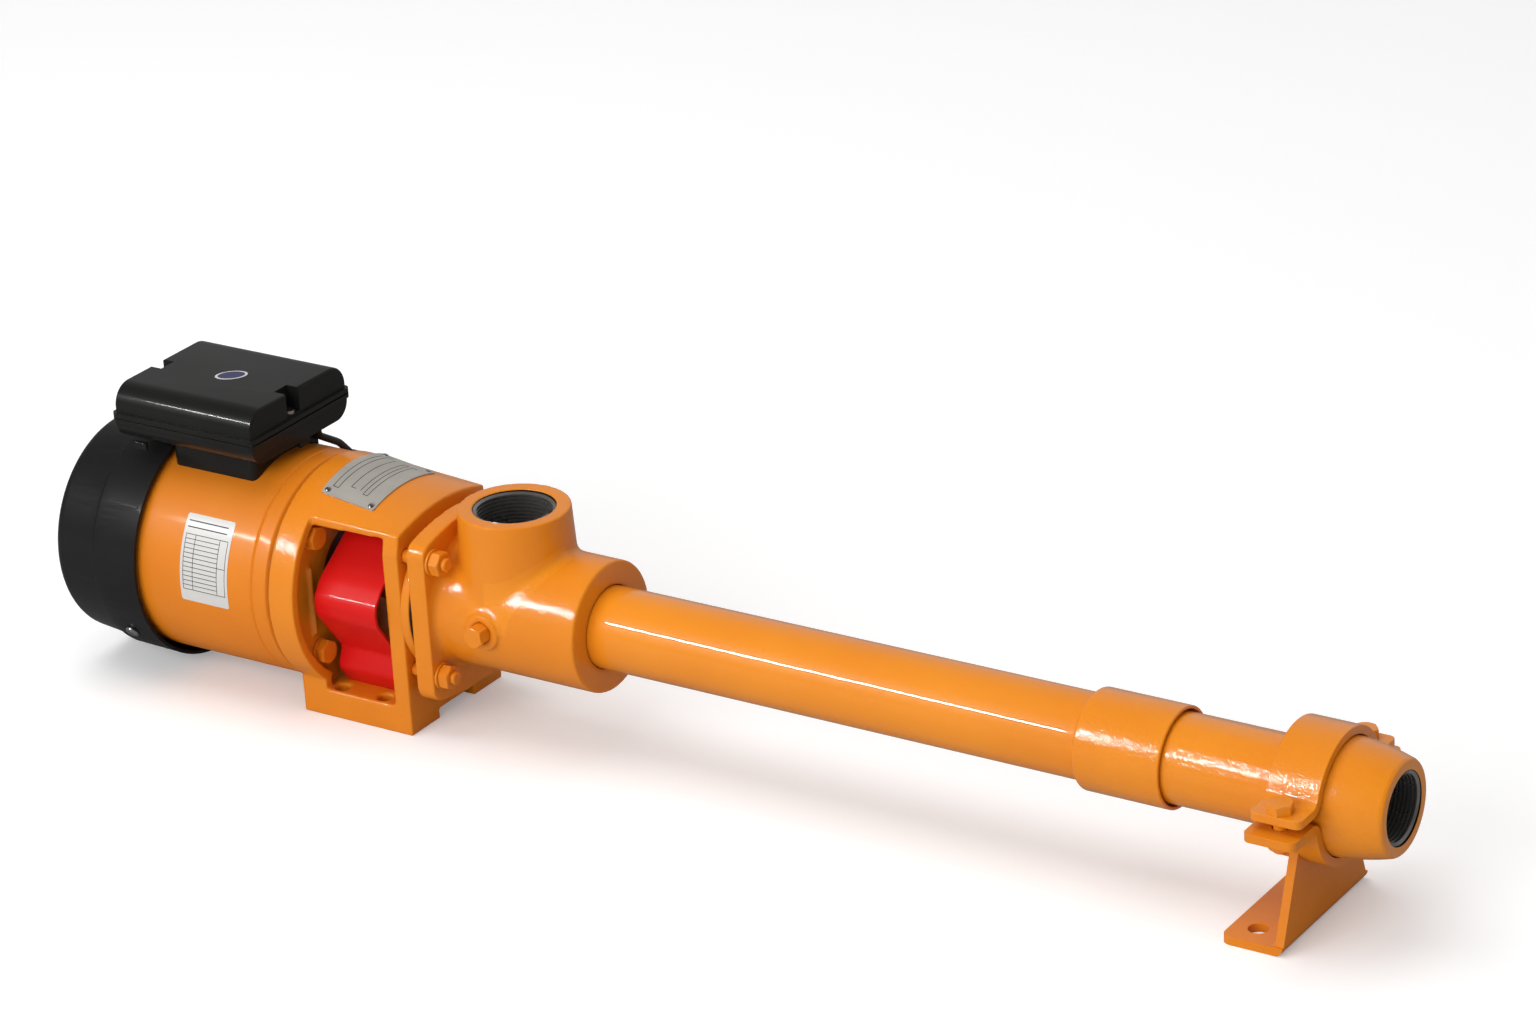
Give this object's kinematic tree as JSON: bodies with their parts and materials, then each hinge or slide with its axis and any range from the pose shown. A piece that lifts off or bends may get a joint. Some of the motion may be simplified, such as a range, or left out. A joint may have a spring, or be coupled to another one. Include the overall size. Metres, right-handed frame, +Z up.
{
  "type": "progressive cavity pump",
  "caption": "Close-coupled progressive cavity pump: fan-cooled motor, lantern bracket with red shaft guard, flanged housing with top port, long stator tube and footed end port.",
  "frame": {"origin": "on the floor at the middle of the lantern bracket's four foot bolts", "axes": "+X along the shaft towards the end port, +Z up, +Y to the left looking towards the end port"},
  "size_m": [0.8501, 0.144, 0.183],
  "materials": {
    "orange_enamel": "glossy enamel with a fine cast grain",
    "red_enamel": "glossy",
    "black_enamel": "satin",
    "black_plastic": "semi-gloss moulding",
    "dark_rubber": "matt",
    "lead_sheath": "satin",
    "plated_rotor": "hard chrome, polished",
    "shaft_steel": "machined",
    "bearing_steel": "ground",
    "core_steel": "laminated",
    "cast_aluminium": "as cast and machined",
    "copper_winding": "lacquered wire",
    "seal_ceramic": "lapped",
    "seal_carbon": "lapped",
    "plated_screw": "zinc plated",
    "capacitor_can": "smooth",
    "terminal_moulding": "moulded"
  },
  "bodies": {
    "pump_body": {"lantern_bracket": "orange_enamel", "shaft_guard": "red_enamel", "seal_plate": "orange_enamel", "flange_gasket": "dark_rubber", "pump_housing": "orange_enamel", "side_plug": "orange_enamel", "housing_oring": "dark_rubber", "flange_studs": "orange_enamel", "flange_washers": "orange_enamel", "flange_nuts": "orange_enamel", "motor_bolts": "orange_enamel", "motor_bolt_washers": "orange_enamel", "stator_tube": "orange_enamel", "stator_rubber": "dark_rubber", "coupling_sleeve": "orange_enamel", "discharge_nozzle": "orange_enamel", "clamp_strap": "orange_enamel", "clamp_saddle": "orange_enamel", "clamp_bolts": "orange_enamel", "clamp_nuts": "orange_enamel", "support_foot": "orange_enamel", "motor_shell": "orange_enamel", "drive_end_shield": "cast_aluminium", "fan_end_shield": "cast_aluminium", "drive_end_bearing": "bearing_steel", "fan_end_bearing": "bearing_steel", "stator_core": "core_steel", "motor_windings": "copper_winding", "fan_cowl": "black_enamel", "seal_seat": "seal_ceramic", "terminal_box_base": "black_plastic", "terminal_box_gasket": "dark_rubber", "terminal_box_lid": "black_plastic", "lid_screws": "plated_screw", "capacitor": "capacitor_can", "terminal_block": "terminal_moulding", "cable_gland": "black_plastic", "motor_lead": "lead_sheath", "lead_boot": "black_plastic", "cowl_screws": "plated_screw"},
    "drive_line": {"motor_shaft": "shaft_steel", "rotor_core": "core_steel", "cooling_fan": "black_plastic", "drive_shaft": "shaft_steel", "drive_key": "shaft_steel", "water_thrower": "dark_rubber", "seal_head": "seal_carbon", "seal_spring": "shaft_steel"},
    "orbit_shaft": {"flexible_shaft": "shaft_steel"},
    "screw": {"helical_rotor": "plated_rotor"}
  },
  "joints": [
    {"name": "drive_spin", "type": "hinge", "parent": "pump_body", "child": "drive_line", "pos_m": [0, 0, 0.075], "axis": [1, 0, 0], "continuous": true},
    {"name": "orbit", "type": "hinge", "parent": "pump_body", "child": "orbit_shaft", "pos_m": [0, 0, 0.075], "axis": [1, 0, 0], "continuous": true},
    {"name": "rotor_spin", "type": "hinge", "parent": "orbit_shaft", "child": "screw", "pos_m": [0, 0.004, 0.075], "axis": [1, 0, 0], "continuous": true}
  ],
  "couplings": [
    {"joint": "orbit", "follows": "drive_spin", "ratio": -1},
    {"joint": "rotor_spin", "follows": "drive_spin", "ratio": 2}
  ]
}
